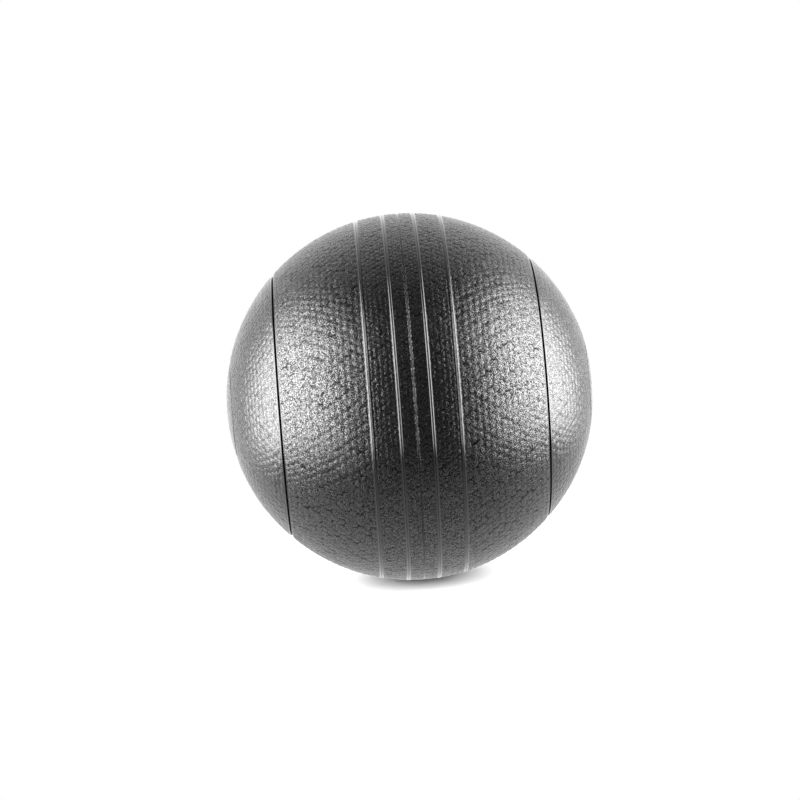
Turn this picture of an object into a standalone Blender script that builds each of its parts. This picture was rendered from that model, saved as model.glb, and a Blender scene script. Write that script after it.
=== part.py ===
"""Rubber medicine ball, 230 mm across, standing on the floor with its pole axis along X.

Every piece is a body of revolution about the pole axis. Its profile is written in polar form,
as a distance from the ball's centre and a latitude counted from the middle plane, and a Screw
modifier turns it. The left and right pieces share a profile and face opposite ways.
"""
import math

import bmesh
import bpy

# Ball, in metres.
BALL_RADIUS = 0.115
CONTACT_RADIUS = 0.014      # flat patch that the ball's own weight presses into its underside
CLEARANCE = 0.0003          # gap between neighbouring pieces

# Wall, from the outside in.
COVER_THICKNESS = 0.005
WEIGHT_THICKNESS = 0.014
WINDING_THICKNESS = 0.0012
BLADDER_THICKNESS = 0.0015

# Ribs and joints, as distances from the middle plane along the pole axis.
RIB_OFFSETS = (0.0101, 0.0269)
RIB_WIDTH = 0.003
RIB_HEIGHT = 0.0006
RIB_CREST_SHARE = 0.4
SHOULDER_JOINT_OFFSET = 0.0803
CAP_JOINT_OFFSET = 0.1108
JOINT_SLOT_WIDTH = 0.0015
LEDGE_HEIGHT = 0.0024       # thickness of the ledge that the next piece sits on
LEDGE_REACH = 0.004
EDGE_ROUND = 0.0004

# Strip between the two bands, a T in section.
STRIP_WEB_WIDTH = 0.0006
STRIP_PROUD = 0.0001
STRIP_FLANGE_WIDTH = 0.012
STRIP_FLANGE_THICKNESS = 0.001

# Tongue and groove between the two weight shells.
TONGUE_WIDTH = 0.004
TONGUE_LENGTH = 0.003

# Valve, at the right pole.
VALVE_FLATNESS = 0.0012     # how far the cap round the valve lies below the sphere
VALVE_STEM_RADIUS = 0.006
VALVE_FLANGE_RADIUS = 0.013
VALVE_FLANGE_THICKNESS = 0.002
VALVE_RECESS = 0.0008       # stem top below the cap's face
VALVE_PATCH_RADIUS = 0.016
NEEDLE_RADIUS = 0.0012
NEEDLE_LEAD = 0.003
CORE_RADIUS = 0.003
CORE_HEAD_RADIUS = 0.0042
CORE_HEAD_THICKNESS = 0.0015

# Facets: COVER_STEPS is a multiple of CORE_STEPS, so neighbouring layers keep their gap.
COVER_STEPS = 48
CORE_STEPS = 24
VALVE_STEPS = 24
COVER_ARC = math.radians(7.5)
CORE_ARC = math.radians(15)
CAP_RINGS = tuple(math.radians(degrees) for degrees in (86, 82, 78.5))
NEAR_POLE_RINGS = tuple(math.radians(degrees) for degrees in (82, 78, 70))
RING_MARGIN = math.radians(0.6)
MERGE = 0.00001
SHARP_ANGLE = math.radians(25)

COVER_INNER = BALL_RADIUS - COVER_THICKNESS
WEIGHT_OUTER = COVER_INNER - CLEARANCE
WEIGHT_INNER = WEIGHT_OUTER - WEIGHT_THICKNESS
WINDING_OUTER = WEIGHT_INNER - CLEARANCE
WINDING_INNER = WINDING_OUTER - WINDING_THICKNESS
BLADDER_OUTER = WINDING_INNER - CLEARANCE
BLADDER_INNER = BLADDER_OUTER - BLADDER_THICKNESS
CENTRE_HEIGHT = math.sqrt(BALL_RADIUS ** 2 - CONTACT_RADIUS ** 2)
LEDGE_TOP = COVER_INNER + LEDGE_HEIGHT
POLE = math.pi / 2
RIGHT, LEFT = 1, -1


def angle(length, radius=BALL_RADIUS):
    """The angle that a length along a sphere's surface covers."""
    return length / radius


def latitude(offset, radius=BALL_RADIUS):
    """The latitude of a sphere's circle that lies this far from the middle plane."""
    return math.asin(offset / radius)


def at(radius, lat):
    """A profile point: distance from the pole axis, and height along it."""
    return radius * math.cos(lat), radius * math.sin(lat)


def arc(radius, start, end, step):
    """Profile points along a circle about the centre, both ends included."""
    count = max(1, math.ceil(abs(end - start) / step - 1e-6))
    return [at(radius, start + (end - start) * i / count) for i in range(count + 1)]


def layer_arc(radius, start, end):
    """Profile points on a layer's face, with corners at latitudes that every layer shares."""
    count = round(math.pi / CORE_ARC)
    rings = [*NEAR_POLE_RINGS, *(POLE - CORE_ARC * i for i in range(2, count + 1))]
    low, high = min(start, end), max(start, end)
    between = sorted(lat for lat in rings if low + RING_MARGIN < lat < high - RING_MARGIN)
    stations = [low, *between, high]
    return [at(radius, lat) for lat in (stations if start < end else stations[::-1])]


def clear_scene():
    for old in list(bpy.data.objects):
        bpy.data.objects.remove(old)


def make_collection(name):
    group = bpy.data.collections.new(name)
    bpy.context.scene.collection.children.link(group)
    return group


def make_material(name, colour, roughness, metallic=0.0):
    material = bpy.data.materials.new(name)
    material.use_nodes = True
    shader = material.node_tree.nodes["Principled BSDF"]
    shader.inputs["Base Color"].default_value = (*colour, 1.0)
    shader.inputs["Roughness"].default_value = roughness
    shader.inputs["Metallic"].default_value = metallic
    return material


def turned(name, profile, side, steps, material, closed=True):
    """A piece turned about the pole axis, its profile's top towards the pole on the side given."""
    mesh = bpy.data.meshes.new(name)
    outline = bmesh.new()
    corners = [outline.verts.new((x, 0.0, z)) for x, z in profile]
    for first, second in zip(corners, corners[1:]):
        outline.edges.new((first, second))
    if closed:
        outline.edges.new((corners[-1], corners[0]))
    outline.to_mesh(mesh)
    outline.free()
    piece = bpy.data.objects.new(name, mesh)
    piece.location = (0.0, 0.0, CENTRE_HEIGHT)
    piece.rotation_euler = (0.0, side * math.pi / 2, 0.0)
    mesh.materials.append(material)
    screw = piece.modifiers.new("Turn", "SCREW")
    screw.axis = "Z"
    screw.steps = steps
    screw.render_steps = steps
    screw.use_merge_vertices = True
    screw.merge_threshold = MERGE
    screw.use_smooth_shade = False
    parts.objects.link(piece)
    return piece


def rib_points(lat):
    """A rounded rib on the cover, from its pole side to its middle side."""
    foot = angle(RIB_WIDTH) / 2
    crest = foot * RIB_CREST_SHARE
    top = BALL_RADIUS + RIB_HEIGHT
    pole_side = [at(BALL_RADIUS, lat + foot), at(top, lat + crest)]
    return pole_side + [at(top, lat - crest), at(BALL_RADIUS, lat - foot)]


def slot_edges(joint_lat):
    """The slot's side towards the middle, and its side towards the pole."""
    half = angle(JOINT_SLOT_WIDTH) / 2
    return joint_lat - half, joint_lat + half


def ledge_profile(joint_lat, inner):
    """Top of a piece that carries a ledge under the joint's slot, down to its own outer edge."""
    near, far = slot_edges(joint_lat)
    tip = far + angle(LEDGE_REACH)
    return [
        at(inner, tip),
        at(LEDGE_TOP, tip),
        at(LEDGE_TOP, near),
        at(BALL_RADIUS - EDGE_ROUND, near),
        at(BALL_RADIUS, near - angle(EDGE_ROUND)),
    ]


def seat_profile(joint_lat, inner):
    """Bottom of a piece that sits on a ledge, from its outer edge down to its inner face."""
    far = slot_edges(joint_lat)[1]
    rim = far + angle(LEDGE_REACH + CLEARANCE)
    return [
        at(BALL_RADIUS, far + angle(EDGE_ROUND)),
        at(BALL_RADIUS - EDGE_ROUND, far),
        at(LEDGE_TOP + CLEARANCE, far),
        at(LEDGE_TOP + CLEARANCE, rim),
        at(inner, rim),
    ]


def band_profile():
    """Half of the middle band: ledge, two ribs, then the rebate for the seam strip."""
    joint = latitude(SHOULDER_JOINT_OFFSET)
    outer_rib, inner_rib = latitude(RIB_OFFSETS[1]), latitude(RIB_OFFSETS[0])
    half_rib = angle(RIB_WIDTH) / 2
    seam = angle(STRIP_WEB_WIDTH / 2 + CLEARANCE)
    rebate = angle(STRIP_FLANGE_WIDTH / 2 + CLEARANCE)
    rebate_top = COVER_INNER + STRIP_FLANGE_THICKNESS + CLEARANCE
    near, far = slot_edges(joint)
    tip = far + angle(LEDGE_REACH)
    profile = ledge_profile(joint, COVER_INNER)
    start = near - angle(EDGE_ROUND)
    profile += arc(BALL_RADIUS, start, outer_rib + half_rib, COVER_ARC)[1:-1]
    profile += rib_points(outer_rib)
    profile += arc(BALL_RADIUS, outer_rib - half_rib, inner_rib + half_rib, COVER_ARC)[1:-1]
    profile += rib_points(inner_rib)
    profile += [
        at(BALL_RADIUS, seam),
        at(rebate_top, seam),
        at(rebate_top, rebate),
        at(COVER_INNER, rebate),
    ]
    return profile + layer_arc(COVER_INNER, rebate, tip)[1:-1]


def shoulder_profile():
    """Ring between the two slots: a ledge at its top, a seat at its bottom."""
    top, bottom = latitude(CAP_JOINT_OFFSET), latitude(SHOULDER_JOINT_OFFSET)
    top_near, top_far = slot_edges(top)
    bottom_far = slot_edges(bottom)[1]
    tip = top_far + angle(LEDGE_REACH)
    rim = bottom_far + angle(LEDGE_REACH + CLEARANCE)
    start = top_near - angle(EDGE_ROUND)
    end = bottom_far + angle(EDGE_ROUND)
    profile = ledge_profile(top, COVER_INNER)
    profile += arc(BALL_RADIUS, start, end, COVER_ARC)[1:-1]
    profile += seat_profile(bottom, COVER_INNER)
    return profile + layer_arc(COVER_INNER, rim, tip)[1:-1]


def cap_profile(flatness=0.0, hole=0.0):
    """Disc at the pole, with its face lowered towards the middle and a round hole if asked for."""
    joint = latitude(CAP_JOINT_OFFSET)
    far = slot_edges(joint)[1]
    edge = far + angle(EDGE_ROUND)
    rim = far + angle(LEDGE_REACH + CLEARANCE)
    face = [at(BALL_RADIUS - flatness, POLE)]
    for lat in CAP_RINGS:
        lowered = flatness * (lat - edge) / (POLE - edge)
        face.append(at(BALL_RADIUS - lowered, lat))
    face += seat_profile(joint, COVER_INNER)
    back = layer_arc(COVER_INNER, rim, POLE)[1:]
    if not hole:
        return face + back
    face[0] = (hole, face[0][1])
    back[-1] = (hole, back[-1][1])
    return face + back


def strip_profile():
    """T section: the web fills the seam and the flange lies under both bands."""
    web = angle(STRIP_WEB_WIDTH) / 2
    flange = angle(STRIP_FLANGE_WIDTH) / 2
    flange_top = COVER_INNER + STRIP_FLANGE_THICKNESS
    tip = BALL_RADIUS + STRIP_PROUD
    return [
        at(tip, web),
        at(tip, -web),
        at(flange_top, -web),
        at(flange_top, -flange),
        at(COVER_INNER, -flange),
        at(COVER_INNER, 0.0),
        at(COVER_INNER, flange),
        at(flange_top, flange),
        at(flange_top, web),
    ]


def weight_profile(hole, tongue):
    """Half shell from the middle plane to the pole, with a tongue or a groove on its rim."""
    rim = CLEARANCE / 2
    middle = (WEIGHT_OUTER + WEIGHT_INNER) / 2
    half = TONGUE_WIDTH / 2
    reach = -TONGUE_LENGTH if tongue else TONGUE_LENGTH + CLEARANCE
    grow = 0.0 if tongue else CLEARANCE
    lip = [
        (WEIGHT_OUTER, rim),
        (middle + half + grow, rim),
        (middle + half + grow, reach),
        (middle - half - grow, reach),
        (middle - half - grow, rim),
        (WEIGHT_INNER, rim),
    ]
    top = math.acos(hole / WEIGHT_OUTER) if hole else POLE
    outer = layer_arc(WEIGHT_OUTER, top, 0.0)[:-1]
    top_inner = math.acos(hole / WEIGHT_INNER) if hole else POLE
    inner = layer_arc(WEIGHT_INNER, 0.0, top_inner)[1:]
    return outer + lip + inner


def sphere_profile(outer, inner, hole):
    """Whole hollow sphere with a round hole at the right pole, closed at the left pole."""
    up = layer_arc(inner, -POLE, math.acos(hole / inner))
    down = layer_arc(outer, math.acos(hole / outer), -POLE)
    return up + down


def patch_profile():
    """Flat ring that lies on the bladder in the opening of the winding."""
    hole = VALVE_STEM_RADIUS + CLEARANCE
    outer_top = math.acos(hole / WINDING_OUTER)
    outer_edge = math.acos(VALVE_PATCH_RADIUS / WINDING_OUTER)
    inner_top = math.acos(hole / WINDING_INNER)
    inner_edge = math.acos(VALVE_PATCH_RADIUS / WINDING_INNER)
    down = layer_arc(WINDING_OUTER, outer_top, outer_edge)
    return down + layer_arc(WINDING_INNER, inner_edge, inner_top)


def valve_body_profile():
    """Stem up to the cap's face, flange against the bladder, and a stepped bore for the core."""
    top = BALL_RADIUS - VALVE_FLATNESS - VALVE_RECESS
    seat = BLADDER_INNER - CLEARANCE
    stem_foot = math.sqrt(seat ** 2 - VALVE_STEM_RADIUS ** 2)
    flange_edge = math.acos(VALVE_FLANGE_RADIUS / seat)
    flange_bottom = at(seat, flange_edge)[1] - VALVE_FLANGE_THICKNESS
    bore = CORE_RADIUS + CLEARANCE
    shoulder = top - NEEDLE_LEAD
    return [
        (VALVE_STEM_RADIUS - EDGE_ROUND, top),
        (VALVE_STEM_RADIUS, top - EDGE_ROUND),
        (VALVE_STEM_RADIUS, stem_foot),
        *layer_arc(seat, math.acos(VALVE_STEM_RADIUS / seat), flange_edge)[1:],
        (VALVE_FLANGE_RADIUS, flange_bottom),
        (bore, flange_bottom),
        (bore, shoulder),
        (NEEDLE_RADIUS, shoulder),
        (NEEDLE_RADIUS, top - NEEDLE_RADIUS),
        (2 * NEEDLE_RADIUS, top),
    ]


def valve_core_profile():
    """Plug in the bore, with a head that bears on the underside of the flange."""
    top = BALL_RADIUS - VALVE_FLATNESS - VALVE_RECESS - NEEDLE_LEAD - CLEARANCE
    seat = BLADDER_INNER - CLEARANCE
    flange_bottom = at(seat, math.acos(VALVE_FLANGE_RADIUS / seat))[1] - VALVE_FLANGE_THICKNESS
    head_top = flange_bottom - CLEARANCE
    return [
        (0.0, head_top - CORE_HEAD_THICKNESS),
        (CORE_HEAD_RADIUS, head_top - CORE_HEAD_THICKNESS),
        (CORE_HEAD_RADIUS, head_top),
        (CORE_RADIUS, head_top),
        (CORE_RADIUS, top),
        (0.0, top),
    ]


def floor_cutter():
    """A slab under the floor, which stands for the ground that flattens the ball."""
    depth = BALL_RADIUS / 4
    bpy.ops.mesh.primitive_cube_add(size=1.0, location=(0.0, 0.0, -depth / 2))
    slab = bpy.context.active_object
    slab.name = "floor_cutter"
    slab.scale = (BALL_RADIUS, BALL_RADIUS, depth)
    slab.hide_render = True
    slab.display_type = "WIRE"
    for group in list(slab.users_collection):
        group.objects.unlink(slab)
    cutters.objects.link(slab)
    return slab


def press_flat(piece, slab):
    """Cut a piece off at the floor, where the ball's weight presses it flat."""
    cut = piece.modifiers.new("Contact", "BOOLEAN")
    cut.operation = "DIFFERENCE"
    cut.solver = "EXACT"
    cut.object = slab


def finish(piece):
    """Keep the piece as its evaluated mesh, smooth but for its real edges."""
    graph = bpy.context.evaluated_depsgraph_get()
    mesh = bpy.data.meshes.new_from_object(piece.evaluated_get(graph))
    piece.modifiers.clear()
    piece.data = mesh
    mesh.name = piece.name
    mesh.shade_smooth()
    mesh.set_sharp_from_angle(angle=SHARP_ANGLE)


def build_cover(rubber):
    """Two bands, two shoulders, two pole caps and the strip in the seam."""
    hole = VALVE_STEM_RADIUS + CLEARANCE
    plain_cap, valve_cap = cap_profile(), cap_profile(VALVE_FLATNESS, hole)
    for word, side in (("left", LEFT), ("right", RIGHT)):
        has_valve = side == RIGHT
        cap = valve_cap if has_valve else plain_cap
        turned(f"cover_band_{word}", band_profile(), side, COVER_STEPS, rubber)
        turned(f"cover_shoulder_{word}", shoulder_profile(), side, COVER_STEPS, rubber)
        turned(f"pole_cap_{word}", cap, side, COVER_STEPS, rubber, closed=has_valve)
    turned("seam_strip", strip_profile(), RIGHT, COVER_STEPS, rubber)


def build_inside(filled, cord, butyl, patch):
    """Weight shells, cord winding, bladder and the patch round the valve."""
    hole = VALVE_STEM_RADIUS + CLEARANCE
    opening = VALVE_PATCH_RADIUS + CLEARANCE
    left, right = weight_profile(0.0, tongue=True), weight_profile(hole, tongue=False)
    winding = sphere_profile(WINDING_OUTER, WINDING_INNER, opening)
    bladder = sphere_profile(BLADDER_OUTER, BLADDER_INNER, hole)
    turned("weight_shell_left", left, LEFT, CORE_STEPS, filled, closed=False)
    turned("weight_shell_right", right, RIGHT, CORE_STEPS, filled)
    turned("cord_winding", winding, RIGHT, CORE_STEPS, cord, closed=False)
    turned("bladder", bladder, RIGHT, CORE_STEPS, butyl, closed=False)
    turned("valve_patch", patch_profile(), RIGHT, CORE_STEPS, patch)


def build_valve(rubber, gum):
    """Housing and self-sealing core, on the pole axis."""
    turned("valve_body", valve_body_profile(), RIGHT, VALVE_STEPS, rubber)
    turned("valve_core", valve_core_profile()[::-1], RIGHT, VALVE_STEPS, gum, closed=False)


clear_scene()
parts = make_collection("medicine_ball")
cutters = make_collection("cutters")

build_cover(make_material("moulded_rubber", (0.022, 0.022, 0.023), 0.42))
build_inside(
    make_material("filled_rubber", (0.05, 0.045, 0.042), 0.75),
    make_material("nylon_cord", (0.55, 0.53, 0.47), 0.8),
    make_material("butyl_rubber", (0.03, 0.03, 0.032), 0.5),
    make_material("patch_rubber", (0.16, 0.11, 0.07), 0.7),
)
build_valve(
    make_material("valve_rubber", (0.03, 0.03, 0.03), 0.45),
    make_material("gum_rubber", (0.45, 0.30, 0.16), 0.6),
)

floor = floor_cutter()
bpy.context.view_layer.update()
for name in ("cover_band_left", "cover_band_right", "seam_strip"):
    press_flat(bpy.data.objects[name], floor)
for piece in parts.objects:
    finish(piece)
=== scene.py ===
import math

import bpy
import numpy as np
from mathutils import Matrix, Vector


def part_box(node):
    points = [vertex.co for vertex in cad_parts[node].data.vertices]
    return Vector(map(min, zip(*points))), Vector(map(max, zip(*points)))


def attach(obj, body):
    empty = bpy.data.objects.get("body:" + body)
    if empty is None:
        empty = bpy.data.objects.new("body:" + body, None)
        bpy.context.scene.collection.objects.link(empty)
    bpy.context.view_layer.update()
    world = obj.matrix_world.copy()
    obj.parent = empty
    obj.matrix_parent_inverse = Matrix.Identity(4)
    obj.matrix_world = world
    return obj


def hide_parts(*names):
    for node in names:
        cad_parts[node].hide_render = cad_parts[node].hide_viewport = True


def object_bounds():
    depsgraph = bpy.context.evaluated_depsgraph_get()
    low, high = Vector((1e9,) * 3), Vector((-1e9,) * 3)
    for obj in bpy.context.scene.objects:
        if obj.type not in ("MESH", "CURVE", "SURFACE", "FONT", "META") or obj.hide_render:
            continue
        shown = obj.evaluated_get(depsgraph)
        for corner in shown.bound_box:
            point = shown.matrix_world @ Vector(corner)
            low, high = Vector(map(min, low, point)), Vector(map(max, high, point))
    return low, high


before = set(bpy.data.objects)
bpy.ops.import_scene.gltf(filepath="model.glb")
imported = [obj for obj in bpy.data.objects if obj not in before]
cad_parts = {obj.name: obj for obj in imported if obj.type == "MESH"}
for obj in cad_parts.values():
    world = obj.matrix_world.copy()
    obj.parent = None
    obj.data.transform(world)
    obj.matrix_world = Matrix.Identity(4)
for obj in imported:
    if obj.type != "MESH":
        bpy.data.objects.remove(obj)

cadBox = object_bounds()
mm = 0.001

# The plain pole cap is a full slice of the ball, so it gives the ball's radius and the height of its centre.
poleLow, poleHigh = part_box("pole_cap_left")
ballRadius = -poleLow.x
ballCentre = Vector((0.0, 0.0, (poleLow.z + poleHigh.z) / 2))
floorHeight = cadBox[0].z

# How the cover is moulded, in millimetres. Offsets are distances from the ball's middle plane.
cover = {
    "thickness": 5.0,
    "ribOffsets": (9.6, 26.3),
    "ribWidth": 1.95,
    "ribCrest": 0.75,        # flat top between the two sloping sides
    "ribHeight": 0.36,
    "ribMargin": (0.15, 0.3, 0.1),   # smooth strip by the inner ribs, then inside and outside the outer ones
    "shoulderJoint": 80.3,
    "capJoint": 110.8,
    "slotWidth": 1.5,
    "slotMargin": 0.9,
    "seamGap": 0.24,         # from the middle plane to the edge of each band
    "seamMargin": 0.1,
    "ledgeHeight": 2.4,
    "ledgeReach": 4.0,
    "edgeRound": 0.3,
    "clearance": 0.3,
    "valveHole": 6.3,        # radius, at the right pole only
    "flatPole": 1.2,         # how far the right pole is flattened
}

# The pebbled grain, in millimetres.
grain = {
    "height": 0.3,
    "sunk": 0.5,             # share of the height that lies under the ball's true size
    "reach": 0.61,           # pebble radius as a share of the pitch
    "stretch": 0.76,         # under 1 makes pebbles longer across the rows
    "rowReach": 1.3,         # rows further off than this share of the pitch can't touch a pebble
    "wander": 0.13,          # how far a pebble strays from its place, as a share of the pitch
    "rowWander": 0.6,        # and how much of that it may stray across its row
    "sizeSpread": 0.16,
    "marginLevel": 0.6,      # height of the smooth strips, from the grain's floor to the ball's true size
    "marginTone": 0.5,       # sheen of the smooth strips, between crease and crown
    "skinOverlap": 0.2,      # mm that the fine skin runs on past the pebbles
    "skinFade": 0.4,
    "crestSkin": 0.8,        # how much skin the rib crests carry, and how far their sheen is lowered as painted shade
    "crestShade": 0.2,
    "crestShare": 0.4,
    "edgeShade": 0.25,        # painted shade: darker colour on the rounded edges down into the slots
    "seed": 7,
}

# Each patch of pebbles: spacing of the rows and of the pebbles in a row, in millimetres.
patches = {
    "middle": {"rows": 2.7, "pitch": 3.2},
    "betweenRibs": {"rows": 3.2, "pitch": 3.7},
    "outer": {"rows": 4.0, "pitch": 4.6},
    "shoulder": {"rows": 4.0, "pitch": 4.6},
    "nearCap": {"rows": 3.9, "pitch": 4.5},
    "cap": {"rows": 3.9, "pitch": 4.4},
}

# Facets: samples round the pole axis and the spacing of rows along it, in millimetres.
facets = {
    "band": 960, "shoulder": 640, "cap": 360, "strip": 720,
    "wideStep": 0.82, "fineStep": 0.66, "ribStep": 0.13, "capStep": 0.6, "backStep": 12.0, "capBackStep": 6.0,
}
sharpAngle = math.radians(58)


def latitude(offset, radius=None):
    return math.asin(offset * mm / (radius or ballRadius))


def arcAngle(length):
    return length * mm / ballRadius


def edgeStations(start, end, step):
    # evenly spaced latitudes, both ends included, no further apart than the step in millimetres
    count = max(1, math.ceil(abs(end - start) / arcAngle(step)))
    return list(np.linspace(start, end, count + 1))


def smoothStep(low, high, value):
    t = np.clip((value - low) / (high - low), 0.0, 1.0)
    return t * t * (3 - 2 * t)


# The lattice of pebbles: rows lie along circles of latitude, and each row sits half a step from the next.
def pebbleRows(low, high, pitch, countFor, seed, relief=1.0):
    rows = max(1, round((high - low) / arcAngle(pitch)))
    dice = np.random.RandomState(seed)
    step = (high - low) / rows
    lattice = []
    for k in range(rows):
        lat = low + (k + 0.5) * step
        count = countFor(lat)
        lattice.append({
            "lat": lat + dice.uniform(-1, 1, count) * grain["wander"] * step * grain["rowWander"],
            "turn": (np.arange(count) + 0.5 * (k % 2) + dice.uniform(-1, 1, count) * grain["wander"]),
            "count": count,
            "size": 1 + dice.uniform(-1, 1, count) * grain["sizeSpread"] * 0.5,
            "tall": relief * (1 + dice.uniform(-1, 1, count) * grain["sizeSpread"]),
            "middle": lat,
            "step": step,
        })
    return lattice


def pebbleHeight(lats, turns, lattice):
    # union of domes, from 0 in the creases to about 1 on the crowns
    height = np.zeros((len(lats), len(turns)))
    for row in lattice:
        near = np.where(np.abs(lats - row["middle"]) < grain["rowReach"] * row["step"])[0]
        if not len(near):
            continue
        place = turns / (2 * math.pi) * row["count"]
        base = np.floor(place - row["turn"][0] + 0.5).astype(int)
        for side in (-1, 0, 1):
            j = base + side
            index = j % row["count"]
            across = place - row["turn"][index] - (j - index)
            along = (lats[near][:, None] - row["lat"][index][None, :]) / row["step"]
            squared = along ** 2 * grain["stretch"] + across[None, :] ** 2
            squared = squared / (grain["reach"] * row["size"][index]) ** 2
            dome = np.clip(1 - squared, 0, 1) * row["tall"][index]
            height[near] = np.maximum(height[near], dome)
    return height


def ribHeight(lats):
    # flat crest and smooth sides
    total = np.zeros_like(lats)
    for offset in cover["ribOffsets"]:
        away = np.abs(lats - latitude(offset)) * ballRadius / mm
        total += (1 - smoothStep(cover["ribCrest"] / 2, cover["ribWidth"] / 2, away)) * cover["ribHeight"]
    return total


def grainMask(lats, bars, fade=0.9):
    # 0 on the smooth strips beside ribs, slots and the seam, 1 where the grain is full
    mask = np.ones_like(lats)
    for place, below, above in bars:
        away = (lats - place) * ballRadius / mm
        clear = smoothStep(below, below + fade, -away) + smoothStep(above, above + fade, away)
        mask *= np.minimum(clear, 1.0)
    return mask


# Turns a closed outline round the pole axis. Each station is a latitude, its radii round the ring, its crown
# value and how grained it is; a low crown value darkens colour and sheen as painted shade.
def turnedMesh(name, stations, count, side, material):
    turns = np.arange(count) / count * 2 * math.pi
    rings = []
    crowns = []
    grained = []
    for lat, radii, crownAndShade, rough in stations:
        radii = np.broadcast_to(radii, (count,))
        rings.append(np.stack([
            side * radii * math.sin(lat),
            radii * math.cos(lat) * np.sin(turns),
            radii * math.cos(lat) * np.cos(turns) + ballCentre.z,
        ], axis=1))
        crowns.append(np.broadcast_to(crownAndShade, (count,)))
        grained.append(np.broadcast_to(rough, (count,)))
    rows = len(rings)
    points = np.concatenate(rings)
    points[:, 2] = np.maximum(points[:, 2], floorHeight)
    tones = {"crownAndShade": np.concatenate(crowns), "grained": np.concatenate(grained)}
    i = np.arange(rows)[:, None]
    j = np.arange(count)[None, :]
    i, j = np.broadcast_arrays(i, j)
    below = (i + 1) % rows
    beside = (j + 1) % count
    quads = np.stack([i * count + j, i * count + beside, below * count + beside, below * count + j], axis=-1)
    quads = quads.reshape(-1, 4)
    if side < 0:
        quads = quads[:, ::-1]
    return meshPiece(name, points, quads, tones, material)


def meshPiece(name, points, quads, tones, material):
    mesh = bpy.data.meshes.new(name)
    mesh.vertices.add(len(points))
    mesh.vertices.foreach_set("co", points.astype(np.float32).ravel())
    mesh.loops.add(quads.size)
    mesh.loops.foreach_set("vertex_index", quads.astype(np.int32).ravel())
    mesh.polygons.add(len(quads))
    mesh.polygons.foreach_set("loop_start", (np.arange(len(quads)) * 4).astype(np.int32))
    mesh.update(calc_edges=True)
    mesh.validate()
    for label, values in tones.items():
        layer = mesh.attributes.new(label, "FLOAT", "POINT")
        layer.data.foreach_set("value", values.astype(np.float32))
    mesh.materials.append(material)
    mesh.shade_smooth()
    mesh.set_sharp_from_angle(angle=sharpAngle)
    piece = bpy.data.objects.new(name, mesh)
    bpy.context.scene.collection.objects.link(piece)
    print(name, len(quads), "quads")
    return piece


def slotSides(joint):
    half = arcAngle(cover["slotWidth"] / 2)
    return joint - half, joint + half


def roundedEdge(lat, outward, top):
    # quarter round from the ball's face down into a slot; outward is the side that falls away
    radius = cover["edgeRound"] * mm
    corner = []
    for step in range(5):
        a = math.radians(90 * step / 4)
        drop = radius * (1 - math.cos(a))
        shift = radius * math.sin(a) / ballRadius
        corner.append((lat - outward * (radius / ballRadius - shift), top - drop, grain["edgeShade"], 0.0))
    return corner


coverInner = ballRadius - cover["thickness"] * mm
ledgeTop = coverInner + cover["ledgeHeight"] * mm
seatFace = ledgeTop + cover["clearance"] * mm
grainFloor = ballRadius - grain["height"] * grain["sunk"] * mm


def faceStations(lats, bars, lattice, count, ribs=False, lowered=None, skinShare=1.0):
    # the outer face, with its grain and ribs, as rings from the first latitude to the last
    turns = np.arange(count) / count * 2 * math.pi
    lats = np.array(lats)
    mask = grainMask(lats, bars)
    crownAndShade = pebbleHeight(lats, turns, lattice) * mask[:, None]
    base = grainFloor + (1 - mask) * (ballRadius - grainFloor) * grain["marginLevel"]
    radii = base[:, None] + crownAndShade * grain["height"] * mm
    if ribs:
        radii += ribHeight(lats)[:, None] * mm
    if lowered is not None:
        radii -= lowered(lats)[:, None]
    more = grain["skinOverlap"]
    skinBars = [(place, below - more, above - more) for place, below, above in bars]
    skin = grainMask(lats, skinBars, grain["skinFade"])
    skin *= skinShare
    crownAndShade = np.maximum(crownAndShade, grain["marginTone"] * (1 - mask)[:, None])
    if ribs:
        # painted shade: the rib crests take a low crown value, which lowers their sheen
        for offset in cover["ribOffsets"]:
            top = np.abs(lats - latitude(offset)) < arcAngle(cover["ribCrest"] * grain["crestShare"])
            skin[top], crownAndShade[top] = grain["crestSkin"], grain["crestShade"]
    return [(lat, radii[n], crownAndShade[n], skin[n]) for n, lat in enumerate(lats)]


def fixedCount(lat, pitch):
    count = round(2 * math.pi * ballRadius / mm * math.cos(lat) / pitch)
    return lambda anyLat: count


def ribStations(middle, half, crest, step):
    # close rows up each side of a rib and a few across its crest
    side = edgeStations(middle - half, middle - crest, step)
    return side + [middle] + [2 * middle - lat for lat in side[::-1]]


def patchRows(low, high, patch, countLat, seed, relief=1.0):
    # one patch of the lattice, with as many pebbles in each row as fit at one latitude
    count = fixedCount(countLat, patches[patch]["pitch"])
    return pebbleRows(low, high, patches[patch]["rows"], count, grain["seed"] + seed, relief)


# Half of the cover's middle, in millimetres. It is rebated at the back for the seam strip.
band = {
    "rebateReach": 6.3,
    "rebateDepth": 1.3,
    "seamDrop": 0.35,        # how far the edge at the seam lies under the ball's face
    # painted shade: darker colour on the edge that drops into the seam
    "seamShade": 0.2,
    "seamClear": 0.3,        # where the grained face starts, past the edge
    "ribKeepOff": 0.7,       # share of the rib's half width and margin that the pebbles keep off
    "countLats": (0.04, 0.16, 0.5),   # radians, where the pebbles of each patch are counted
    "innerRelief": 1.0,
    "betweenRelief": 1.1,    # a little taller, so that it shows between the ribs
}


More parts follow.
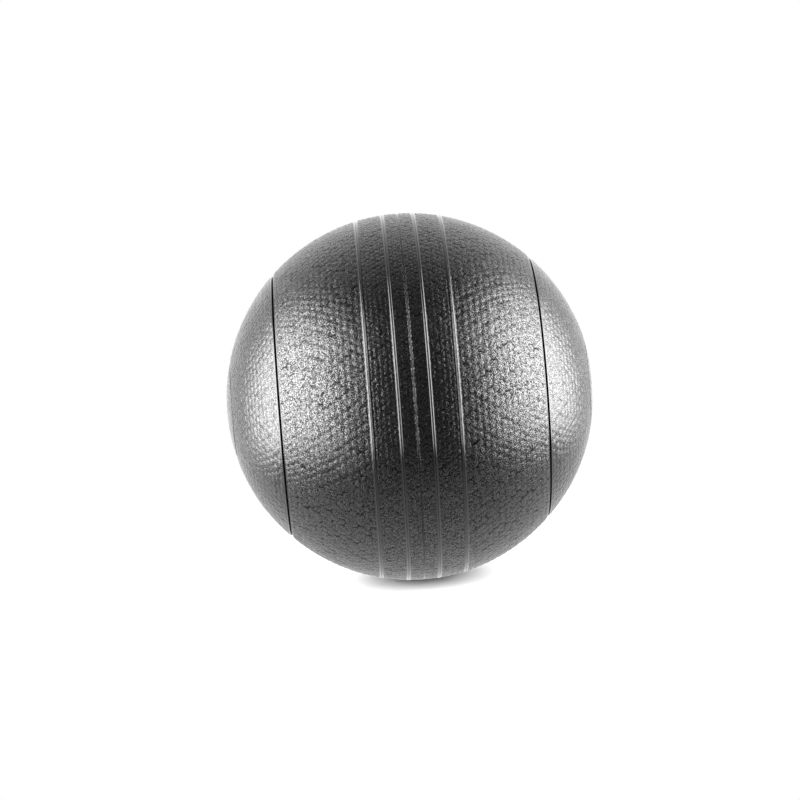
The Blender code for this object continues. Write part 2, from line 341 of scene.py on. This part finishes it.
def makeBand(side, word, material):
    near, far = slotSides(latitude(cover["shoulderJoint"]))
    tip = far + arcAngle(cover["ledgeReach"])
    seam = arcAngle(cover["seamGap"])
    inner, outer = (latitude(o) for o in cover["ribOffsets"])
    half = arcAngle(cover["ribWidth"] / 2)
    top = near - arcAngle(cover["edgeRound"])
    fine, rib = facets["fineStep"], facets["ribStep"]
    lats = edgeStations(seam + arcAngle(band["seamClear"]), inner - half, fine)[:-1]
    crest = arcAngle(cover["ribCrest"] / 2)
    lats += ribStations(inner, half, crest, rib)
    lats += edgeStations(inner + half, outer - half, fine)[1:-1]
    lats += ribStations(outer, half, crest, rib)
    lats += edgeStations(outer + half, top, facets["wideStep"])[1:]
    beside, inside, outside = (cover["ribWidth"] / 2 + clear for clear in cover["ribMargin"])
    slot, strip = cover["slotMargin"], cover["seamMargin"]
    bars = [(inner, beside, beside), (outer, inside, outside), (near, slot, slot), (seam, strip, strip)]
    margin = arcAngle(beside * band["ribKeepOff"])
    first, second, third = band["countLats"]
    lattice = patchRows(seam, inner - margin, "middle", first, 0, band["innerRelief"])
    lattice += patchRows(inner + margin, outer - margin, "betweenRibs", second, 1, band["betweenRelief"])
    lattice += patchRows(outer + margin, near, "outer", third, 2)
    face = faceStations(lats, bars, lattice, facets["band"], ribs=True)
    edge = face[-1][1]
    rebate = arcAngle(band["rebateReach"])
    rebateTop = coverInner + band["rebateDepth"] * mm
    seamTop = ballRadius - band["seamDrop"] * mm
    # painted shade: the seam edge, the ledge and the back faces take low crown values, which darken their
    # colour
    seamEdge = [(seam, rebateTop, 0.0, 0.0), (seam, seamTop, band["seamShade"], 0.0)]
    rim = roundedEdge(near, 1, edge)
    ledge = [(near, ledgeTop, 0.0, 0.0), (tip, ledgeTop, 0.0, 0.0), (tip, coverInner, 0.0, 0.0)]
    back = [(lat, coverInner, 0.0, 0.0) for lat in edgeStations(tip, rebate, facets["backStep"])[1:]]
    foot = [(rebate, rebateTop, 0.0, 0.0)]
    return turnedMesh(f"band_{word}_pebbled", seamEdge + face + rim[1:] + ledge + back + foot,
                      facets["band"], side, material)


shoulder = {
    "change": 58.0,          # degrees of latitude, where the rows take fewer pebbles
    "countLats": (51.0, 65.0),
    "stepShare": 0.85,       # of the wide facet step
    "skinShare": 0.75,
}


def makeShoulder(side, word, material):
    low, high = latitude(cover["shoulderJoint"]), latitude(cover["capJoint"])
    start = slotSides(low)[1]
    near, far = slotSides(high)
    tip = far + arcAngle(cover["ledgeReach"])
    rim = start + arcAngle(cover["ledgeReach"] + cover["clearance"])
    bottom = start + arcAngle(cover["edgeRound"])
    top = near - arcAngle(cover["edgeRound"])
    lats = edgeStations(bottom, top, facets["wideStep"] * shoulder["stepShare"])
    slot = cover["slotMargin"]
    bars = [(start, slot, slot), (near, slot, slot)]
    change = math.radians(shoulder["change"])
    first, second = (math.radians(degrees) for degrees in shoulder["countLats"])
    lattice = patchRows(start, change, "shoulder", first, 3)
    lattice += patchRows(change, near, "nearCap", second, 4)
    face = faceStations(lats, bars, lattice, facets["shoulder"], skinShare=shoulder["skinShare"])
    firstEdge = roundedEdge(start, -1, face[0][1])[::-1]
    lastEdge = roundedEdge(near, 1, face[-1][1])
    # painted shade: the ledge, back and seat take crown 0, the darkest colour
    ledge = [(near, ledgeTop, 0.0, 0.0), (tip, ledgeTop, 0.0, 0.0), (tip, coverInner, 0.0, 0.0)]
    back = [(lat, coverInner, 0.0, 0.0) for lat in edgeStations(tip, rim, facets["backStep"])[1:]]
    seat = [(rim, seatFace, 0.0, 0.0), (start, seatFace, 0.0, 0.0)]
    return turnedMesh(f"shoulder_{word}_pebbled", firstEdge[:-1] + face + lastEdge[1:] + ledge + back + seat,
                      facets["shoulder"], side, material)


cap = {
    "closedTip": 0.25,       # mm, the tiny ring that ends the cap with no hole
    "holeMargin": 2.6,       # mm, smooth lip round the hole
    "fewest": 3,             # pebbles in the row next to the pole
    "skinShare": 0.45,
}


def makeCap(side, word, material, hole, flatness):
    start = slotSides(latitude(cover["capJoint"]))[1]
    rim = start + arcAngle(cover["ledgeReach"] + cover["clearance"])
    bottom = start + arcAngle(cover["edgeRound"])
    pole = math.pi / 2
    inside = max(hole, cap["closedTip"])
    top = pole - arcAngle(inside)
    lats = edgeStations(bottom, top, facets["capStep"])
    bars = [(start, cover["slotMargin"], cover["slotMargin"])]
    if hole:
        bars.append((pole - arcAngle(hole), cap["holeMargin"], cap["holeMargin"]))

    def countFor(lat):
        around = 2 * math.pi * ballRadius / mm * math.cos(lat)
        return max(cap["fewest"], round(around / patches["cap"]["pitch"]))

    def lowered(lat):
        return flatness * mm * np.clip((lat - bottom) / (pole - bottom), 0, 1)

    lattice = pebbleRows(start, pole, patches["cap"]["rows"], countFor, grain["seed"] + 5)
    face = faceStations(lats, bars, lattice, facets["cap"], lowered=lowered, skinShare=cap["skinShare"])
    firstEdge = roundedEdge(start, -1, face[0][1])[::-1]
    # painted shade: the bore, back and seat take crown 0, the darkest colour
    bore = [] if not hole else [(pole - arcAngle(hole) * ballRadius / coverInner, coverInner, 0.0, 0.0)]
    topLat = bore[0][0] if hole else pole - arcAngle(inside)
    back = [(lat, coverInner, 0.0, 0.0) for lat in edgeStations(topLat, rim, facets["capBackStep"])]
    seat = [(rim, seatFace, 0.0, 0.0), (start, seatFace, 0.0, 0.0)]
    return turnedMesh(f"pole_cap_{word}_pebbled", firstEdge[:-1] + face + back + seat,
                      facets["cap"], side, material)


# The seam between the two bands, in millimetres: a thin web that stands just proud in places.
seamStrip = {
    "waves": (3, 60),        # waves in the edge, round the ball
    "waveFall": 0.6,         # how fast the shorter ones get weaker
    "level": -0.02,
    "proud": 0.14,
    "sunk": -0.2,
    "swing": 1.6,            # over 1, so the tallest and lowest stretches are cut flat
    "web": 0.2,              # half width
    "webTip": 0.4,           # flat top, as a share of the web
    "shoulderDrop": 0.1,
    "flange": 6.0,
    "flangeHeight": 1.0,
    "tone": 0.5,
}


def makeStrip(material):
    count = facets["strip"]
    turns = np.arange(count) / count * 2 * math.pi
    dice = np.random.RandomState(grain["seed"] + 9)
    proud = np.zeros(count)
    for wave in range(*seamStrip["waves"]):
        size = dice.normal() / wave ** seamStrip["waveFall"]
        proud += size * np.sin(wave * turns + dice.uniform(0, 6.28))
    proud = seamStrip["level"] + seamStrip["proud"] * proud / np.abs(proud).max() * seamStrip["swing"]
    tip = ballRadius + np.clip(proud, seamStrip["sunk"], seamStrip["proud"]) * mm
    web, flange = arcAngle(seamStrip["web"]), arcAngle(seamStrip["flange"])
    flat, low = web * seamStrip["webTip"], tip - seamStrip["shoulderDrop"] * mm
    flangeTop = coverInner + seamStrip["flangeHeight"] * mm
    stations = [
        (-web, low), (-flat, tip), (flat, tip), (web, low),
        (web, flangeTop), (flange, flangeTop), (flange, coverInner), (0.0, coverInner),
        (-flange, coverInner), (-flange, flangeTop), (-web, flangeTop),
    ]
    stations = [(lat, radii, seamStrip["tone"], 0.0) for lat, radii in stations]
    return turnedMesh("seam_strip_moulded", stations, count, 1, material)


# Materials
def hexColour(text):
    parts = [int(text[i:i + 2], 16) / 255 for i in (1, 3, 5)]
    return [c / 12.92 if c <= 0.04045 else ((c + 0.055) / 1.055) ** 2.4 for c in parts] + [1.0]


def addNode(tree, kind, settings=None, links=None):
    node = tree.nodes.new(kind)
    for key, value in (settings or {}).items():
        if isinstance(key, int) or key in node.inputs:
            node.inputs[key].default_value = value
        else:
            setattr(node, key, value)
    for key, source in (links or {}).items():
        tree.links.new(source, node.inputs[key])
    return node


def newMaterial(name):
    material = bpy.data.materials.new(name)
    material.use_nodes = True
    tree = material.node_tree
    tree.nodes.clear()
    output = tree.nodes.new("ShaderNodeOutputMaterial")
    return material, tree, output


# Moulded rubber: carbon-black rubber pressed in a pebbled steel mould, with a satin skin a little rougher
# in the creases. Colour and sheen are darkened in the creases as painted shade, and a speckle in the sheen
# paints shadowed pits and glints.
mouldedRubber = {
    "colour": "#090909",
    # painted shade: a darker colour for creases, slot ledges and back faces
    "creaseShadeColour": "#050505",
    "ior": 1.5,
    "crownRoughness": 0.25,
    "creaseRoughness": 0.29,
    "smoothRoughness": 0.17,
    "creaseShadeSheen": 0.06,     # painted shade: specular level lowered deep in the creases
    "skinGrain": 0.75,       # mm between the fine wrinkles of the moulded skin
    "skinDepth": 0.15,       # mm
    "pores": 0.6,            # mm, drawn as coarse as the view needs
    "speckleShade": 0.62,            # mm between specks of painted shade and painted glint in the specular level, also drawn that coarse
    "speckleShadeLow": 0.12,
    "poreDepth": 0.17,       # mm
    "plainSheen": 0.5,       # the usual specular level, on crowns and on smooth rubber
    "clouds": 18,            # mm, slow patches of duller and shinier skin
    "cloudRoughness": 0.02,
}


def makeMouldedRubber():
    look = mouldedRubber
    material, tree, output = newMaterial("mouldedRubber")
    place = addNode(tree, "ShaderNodeTexCoord").outputs["Object"]
    crownAndShade = addNode(tree, "ShaderNodeAttribute", {"attribute_name": "crownAndShade"}).outputs["Fac"]
    grained = addNode(tree, "ShaderNodeAttribute", {"attribute_name": "grained"}).outputs["Fac"]
    wrinkles = addNode(tree, "ShaderNodeTexNoise",
                       {"Scale": 1 / (look["skinGrain"] * mm), "Detail": 2.0, "Roughness": 0.55},
                       {"Vector": place}).outputs["Fac"]
    pores = addNode(tree, "ShaderNodeTexNoise",
                    {"Scale": 1 / (look["pores"] * mm), "Detail": 1.0},
                    {"Vector": place}).outputs["Fac"]
    clouds = addNode(tree, "ShaderNodeTexNoise",
                     {"Scale": 1 / (look["clouds"] * mm), "Detail": 3.0, "Roughness": 0.6},
                     {"Vector": place}).outputs["Fac"]
    # painted shade: the colour darkens towards the crease colour where the crown value is low
    colour = addNode(tree, "ShaderNodeMix",
                     {"data_type": "RGBA", 6: hexColour(look["creaseShadeColour"]), 7: hexColour(look["colour"])},
                     {0: crownAndShade}).outputs[2]
    gloss = addNode(tree, "ShaderNodeMapRange",
                    {"From Min": 0.0, "From Max": 0.9, "To Min": look["creaseRoughness"],
                     "To Max": look["crownRoughness"]}, {"Value": crownAndShade}).outputs["Result"]
    cloudy = addNode(tree, "ShaderNodeMapRange",
                     {"From Min": 0.3, "From Max": 0.7,
                      "To Min": -look["cloudRoughness"], "To Max": look["cloudRoughness"]},
                     {"Value": clouds}).outputs["Result"]
    satin = addNode(tree, "ShaderNodeMix", {"data_type": "FLOAT", 2: look["smoothRoughness"]},
                    {0: grained, 3: gloss}).outputs[0]
    roughness = addNode(tree, "ShaderNodeMath", {"operation": "ADD"}, {0: satin, 1: cloudy}).outputs[0]
    poreDepth = addNode(tree, "ShaderNodeMath", {"operation": "MULTIPLY"},
                        {0: pores, 1: grained}).outputs[0]
    skinDepth = addNode(tree, "ShaderNodeMath", {"operation": "MULTIPLY"},
                        {0: wrinkles, 1: grained}).outputs[0]
    fine = addNode(tree, "ShaderNodeBump", {"Strength": 1.0, "Distance": look["poreDepth"] * mm},
                   {"Height": poreDepth}).outputs["Normal"]
    skin = addNode(tree, "ShaderNodeBump", {"Strength": 1.0, "Distance": look["skinDepth"] * mm},
                   {"Height": skinDepth, "Normal": fine}).outputs["Normal"]
    # painted shade: the specular level falls where the crown value is low, in the creases and on the rib
    # crests
    paintedCavityShade = addNode(tree, "ShaderNodeMapRange",
                     {"From Min": 0.1, "From Max": 0.5,
                      "To Min": look["creaseShadeSheen"], "To Max": look["plainSheen"]},
                     {"Value": crownAndShade}).outputs["Result"]
    # painted shade and glints: a fine noise lowers the specular level in some specks and nearly doubles it in
    # others
    speckleShade = addNode(tree, "ShaderNodeTexNoise",
                   {"Scale": 1 / (look["speckleShade"] * mm), "Detail": 1.0, "Roughness": 0.5},
                   {"Vector": place}).outputs["Fac"]
    paintedSpeckle = addNode(tree, "ShaderNodeMapRange",
                   {"From Min": 0.4, "From Max": 0.6,
                    "To Min": look["speckleShadeLow"], "To Max": 2 - look["speckleShadeLow"]},
                   {"Value": speckleShade}).outputs["Result"]
    shadeAndSpeckleSheen = addNode(tree, "ShaderNodeMath", {"operation": "MULTIPLY"}, {0: paintedCavityShade, 1: paintedSpeckle}).outputs[0]
    sheen = addNode(tree, "ShaderNodeMix", {"data_type": "FLOAT", 2: look["plainSheen"]},
                    {0: grained, 3: shadeAndSpeckleSheen}).outputs[0]
    shader = addNode(tree, "ShaderNodeBsdfPrincipled", {"IOR": look["ior"]},
                     {"Base Color": colour, "Roughness": roughness, "Specular IOR Level": sheen,
                      "Normal": skin})
    tree.links.new(shader.outputs["BSDF"], output.inputs["Surface"])
    return material


# Rubbers of the inner layers. Each is a plain colour broken up by grain (size and depth in millimetres).
innerLooks = {
    # rubber loaded with mineral powder: dull, with a gritty break
    "filledRubber": {"colours": ("#3a3633", "#4a4541"), "roughness": (0.7, 0.85),
                     "grain": 1.6, "depth": 0.12},
    # butyl sheet: smooth, with a slow satin ripple
    "butylRubber": {"colours": ("#222225", "#2c2c30"), "roughness": (0.42, 0.55),
                    "grain": 6.0, "depth": 0.05},
    # fabric-filled patch rubber: brown and matt
    "patchRubber": {"colours": ("#6a4f38", "#7a5c42"), "roughness": (0.62, 0.78),
                    "grain": 1.2, "depth": 0.08},
    # moulded valve rubber: fine and slightly shiny
    "valveRubber": {"colours": ("#1d1d1d", "#272727"), "roughness": (0.38, 0.5),
                    "grain": 0.8, "depth": 0.02},
    # natural gum rubber: amber and soft
    "gumRubber": {"colours": ("#a8754a", "#bd8a5c"), "roughness": (0.5, 0.62),
                  "grain": 2.0, "depth": 0.03},
}


def makeInnerRubber(name):
    look = innerLooks[name]
    material, tree, output = newMaterial(name)
    place = addNode(tree, "ShaderNodeTexCoord").outputs["Object"]
    speckle = addNode(tree, "ShaderNodeTexNoise",
                      {"Scale": 1 / (look["grain"] * mm), "Detail": 3.0}, {"Vector": place}).outputs["Fac"]
    colour = addNode(tree, "ShaderNodeMix",
                     {"data_type": "RGBA", 6: hexColour(look["colours"][0]),
                      7: hexColour(look["colours"][1])},
                     {0: speckle}).outputs[2]
    roughness = addNode(tree, "ShaderNodeMapRange",
                        {"To Min": look["roughness"][0], "To Max": look["roughness"][1]},
                        {"Value": speckle}).outputs["Result"]
    relief = addNode(tree, "ShaderNodeBump", {"Distance": look["depth"] * mm},
                     {"Height": speckle}).outputs["Normal"]
    shader = addNode(tree, "ShaderNodeBsdfPrincipled", {"IOR": 1.5},
                     {"Base Color": colour, "Roughness": roughness, "Normal": relief})
    tree.links.new(shader.outputs["BSDF"], output.inputs["Surface"])
    return material


# Nylon cord: twisted yarn wound round the bladder, dull off-white, with dark gaps where two layers cross.
nylonCord = {
    "pitch": 1.2,            # mm between turns
    "waveScale": 0.314,      # scale at which a wave texture repeats once in a metre
    "windings": ((0.2, 0.5, 0.0), (1.1, -0.4, 0.7)),
    "gapColour": "#8d8674",
    "yarnColour": "#c9c3b2",
    "depth": 0.3,            # mm
}


def makeNylonCord():
    material, tree, output = newMaterial("nylonCord")
    place = addNode(tree, "ShaderNodeTexCoord").outputs["Object"]
    waves = []
    scale = nylonCord["waveScale"] / (nylonCord["pitch"] * mm) / 2
    for turn in nylonCord["windings"]:
        turned = addNode(tree, "ShaderNodeMapping", {"Rotation": turn}, {"Vector": place}).outputs["Vector"]
        waves.append(addNode(tree, "ShaderNodeTexWave",
                             {"Scale": scale, "Distortion": 1.2, "Detail": 1.0, "Detail Scale": 2.0},
                             {"Vector": turned}).outputs["Fac"])
    weave = addNode(tree, "ShaderNodeMath", {"operation": "MAXIMUM"}, {0: waves[0], 1: waves[1]}).outputs[0]
    colour = addNode(tree, "ShaderNodeMix",
                     {"data_type": "RGBA", 6: hexColour(nylonCord["gapColour"]),
                      7: hexColour(nylonCord["yarnColour"])}, {0: weave}).outputs[2]
    relief = addNode(tree, "ShaderNodeBump", {"Distance": nylonCord["depth"] * mm},
                     {"Height": weave}).outputs["Normal"]
    shader = addNode(tree, "ShaderNodeBsdfPrincipled", {"Roughness": 0.75, "IOR": 1.53},
                     {"Base Color": colour, "Normal": relief})
    tree.links.new(shader.outputs["BSDF"], output.inputs["Surface"])
    return material


# Studio: a small white table, four soft panels beside it, a dark room in front and a white sweep behind.
studio = {
    "cameraDistance": 1587.0,
    "cameraTurn": 1.2,       # degrees round to the left
    "cameraRise": 7.0,       # degrees above the horizon
    "cameraRoll": 4.15,      # degrees
    "lens": 113.5,
    "aimRight": -6.2,        # mm that the aim lies right of the ball's centre, and above it
    "aimUp": -2.2,
    "panels": {              # each side has a broad dim panel and a smaller bright one, for softer edges
        "leftBroad": {"azimuth": -77.5, "distance": 1.15, "width": 1.62, "height": 1.75,
                      "rise": 0.27, "radiance": 9.5},
        "leftCore": {"azimuth": -76.0, "distance": 1.1, "width": 1.05, "height": 1.05,
                     "rise": 0.25, "radiance": 6.5},
        "rightBroad": {"azimuth": 83.0, "distance": 1.15, "width": 1.5, "height": 1.75,
                       "rise": 0.28, "radiance": 9.0},
        "rightCore": {"azimuth": 82.0, "distance": 1.1, "width": 0.95, "height": 1.05,
                      "rise": 0.27, "radiance": 6.5},
    },
    "tableRadius": 0.32,
    "frontRoom": 0.12,
    "backSweep": 1.8,
    "tableColour": "#e4e4e4",
    "glowFront": 0.19,      # painted light: how brightly the table glows to the ball, in front of it and under it
    "glowUnder": 1.4,
    "tableTurn": (-0.24, -0.08),   # metres in front of the ball, where one gives way to the other
    "tableFade": (0.5, 0.97),      # shares of the radius, where the table melts into the white ground
    "tableGlow": 1.2,
    "sweepTurn": (-0.35, 0.95),    # front to back, where the dark room gives way to the sweep
}


def makeCamera():
    turn, rise, roll = (math.radians(studio[key]) for key in ("cameraTurn", "cameraRise", "cameraRoll"))
    back = Vector((-math.sin(turn) * math.cos(rise), -math.cos(turn) * math.cos(rise), math.sin(rise)))
    right = Vector((math.cos(turn), -math.sin(turn), 0.0))
    up = back.cross(right)
    rolledRight = right * math.cos(roll) - up * math.sin(roll)
    rolledUp = up * math.cos(roll) + right * math.sin(roll)
    aim = ballCentre + rolledRight * studio["aimRight"] * mm + rolledUp * studio["aimUp"] * mm
    data = bpy.data.cameras.new("camera")
    data.lens = studio["lens"]
    data.clip_start, data.clip_end = 0.05, 50.0
    camera = bpy.data.objects.new("camera", data)
    facing = Matrix((rolledRight, rolledUp, back)).transposed().to_4x4()
    camera.matrix_world = Matrix.Translation(aim + back * studio["cameraDistance"] * mm) @ facing
    bpy.context.scene.collection.objects.link(camera)
    bpy.context.scene.camera = camera


def makePanel(name, panel):
    light = bpy.data.lights.new(name, "AREA")
    light.shape = "RECTANGLE"
    light.size, light.size_y = panel["width"], panel["height"]
    light.energy = math.pi * panel["width"] * panel["height"] * panel["radiance"]
    lamp = bpy.data.objects.new(name, light)
    a = math.radians(panel["azimuth"])
    outward = Vector((math.sin(a), -math.cos(a), 0.0))
    lamp.location = outward * panel["distance"] + Vector((0.0, 0.0, ballCentre.z + panel["rise"]))
    lamp.rotation_euler = outward.to_track_quat("Z", "Y").to_euler()
    lamp.visible_camera = False
    bpy.context.scene.collection.objects.link(lamp)


def makeTable():
    count = 96
    turns = np.arange(count) / count * 2 * math.pi
    points = [(0.0, 0.0, floorHeight)]
    rim = studio["tableRadius"]
    points += [(rim * math.cos(t), rim * math.sin(t), floorHeight) for t in turns]
    mesh = bpy.data.meshes.new("whiteTable")
    mesh.from_pydata(points, [], [(0, 1 + n, 1 + (n + 1) % count) for n in range(count)])
    material, tree, output = newMaterial("whiteLaminateGlow")
    place = addNode(tree, "ShaderNodeTexCoord").outputs["Object"]
    reach = addNode(tree, "ShaderNodeVectorMath", {"operation": "LENGTH"}, {0: place}).outputs["Value"]
    fade = addNode(tree, "ShaderNodeMapRange",
                   {"interpolation_type": "SMOOTHSTEP", "From Min": rim * studio["tableFade"][0],
                    "From Max": rim * studio["tableFade"][1]}, {"Value": reach}).outputs["Result"]
    matt = addNode(tree, "ShaderNodeBsdfPrincipled",
                   {"Base Color": hexColour(studio["tableColour"]), "Roughness": 0.7})
    glow = addNode(tree, "ShaderNodeEmission", {"Color": (1, 1, 1, 1), "Strength": studio["tableGlow"]})
    seen = addNode(tree, "ShaderNodeMixShader", None, {0: fade, 1: matt.outputs[0], 2: glow.outputs[0]})
    depth = addNode(tree, "ShaderNodeSeparateXYZ", None, {0: place}).outputs["Y"]
    # painted light: to all rays but the camera's the table is a glow, bright under the ball where it would
    # lie in shade
    paintedGlow = addNode(tree, "ShaderNodeMapRange",
                     {"From Min": studio["tableTurn"][0], "From Max": studio["tableTurn"][1],
                      "To Min": studio["glowFront"], "To Max": studio["glowUnder"]},
                     {"Value": depth}).outputs["Result"]
    lit = addNode(tree, "ShaderNodeEmission", {"Color": (1, 1, 1, 1)}, {"Strength": paintedGlow})
    path = addNode(tree, "ShaderNodeLightPath").outputs["Is Camera Ray"]
    mix = addNode(tree, "ShaderNodeMixShader", None, {0: path, 1: lit.outputs[0], 2: seen.outputs[0]})
    tree.links.new(mix.outputs[0], output.inputs["Surface"])
    mesh.materials.append(material)
    table = bpy.data.objects.new("whiteTable", mesh)
    bpy.context.scene.collection.objects.link(table)


def makeRoom():
    # the camera sees plain white; the ball sees a dark room in front and a white sweep behind
    world = bpy.data.worlds.new("studio")
    bpy.context.scene.world = world
    world.use_nodes = True
    tree = world.node_tree
    tree.nodes.clear()
    output = tree.nodes.new("ShaderNodeOutputWorld")
    way = addNode(tree, "ShaderNodeTexCoord").outputs["Generated"]
    parts = addNode(tree, "ShaderNodeSeparateXYZ", None, {0: way})
    sweep = addNode(tree, "ShaderNodeMapRange",
                    {"interpolation_type": "SMOOTHSTEP",
                     "From Min": studio["sweepTurn"][0], "From Max": studio["sweepTurn"][1],
                     "To Min": studio["frontRoom"], "To Max": studio["backSweep"]},
                    {"Value": parts.outputs["Y"]}).outputs["Result"]
    room = addNode(tree, "ShaderNodeBackground", {"Color": (1, 1, 1, 1)}, {"Strength": sweep})
    seen = addNode(tree, "ShaderNodeBackground", {"Color": (1, 1, 1, 1), "Strength": 1.0})
    path = addNode(tree, "ShaderNodeLightPath")
    mix = addNode(tree, "ShaderNodeMixShader", None,
                  {0: path.outputs["Is Camera Ray"], 1: room.outputs[0], 2: seen.outputs[0]})
    tree.links.new(mix.outputs[0], output.inputs["Surface"])


print("studio")
bpy.context.scene.view_settings.view_transform = "Standard"
makeCamera()
makeTable()
makeRoom()
for name, panel in studio["panels"].items():
    makePanel(name, panel)

print("cover")
rubber = makeMouldedRubber()
pieces = {"seam_strip": makeStrip(rubber)}
for word, side in (("left", -1), ("right", 1)):
    pieces[f"cover_band_{word}"] = makeBand(side, word, rubber)
    pieces[f"cover_shoulder_{word}"] = makeShoulder(side, word, rubber)
    hole, flatness = (cover["valveHole"], cover["flatPole"]) if side > 0 else (0.0, 0.0)
    pieces[f"pole_cap_{word}"] = makeCap(side, word, rubber, hole, flatness)
for node, piece in pieces.items():
    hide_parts(node)
    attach(piece, "root")

print("inside")
inner = {name: makeInnerRubber(name) for name in innerLooks}
inner["nylonCord"] = makeNylonCord()
finishes = {
    "weight_shell_left": "filledRubber", "weight_shell_right": "filledRubber",
    "cord_winding": "nylonCord", "bladder": "butylRubber", "valve_patch": "patchRubber",
    "valve_body": "valveRubber", "valve_core": "gumRubber",
}
for node, finish in finishes.items():
    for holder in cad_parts[node].material_slots:
        holder.material = inner[finish]
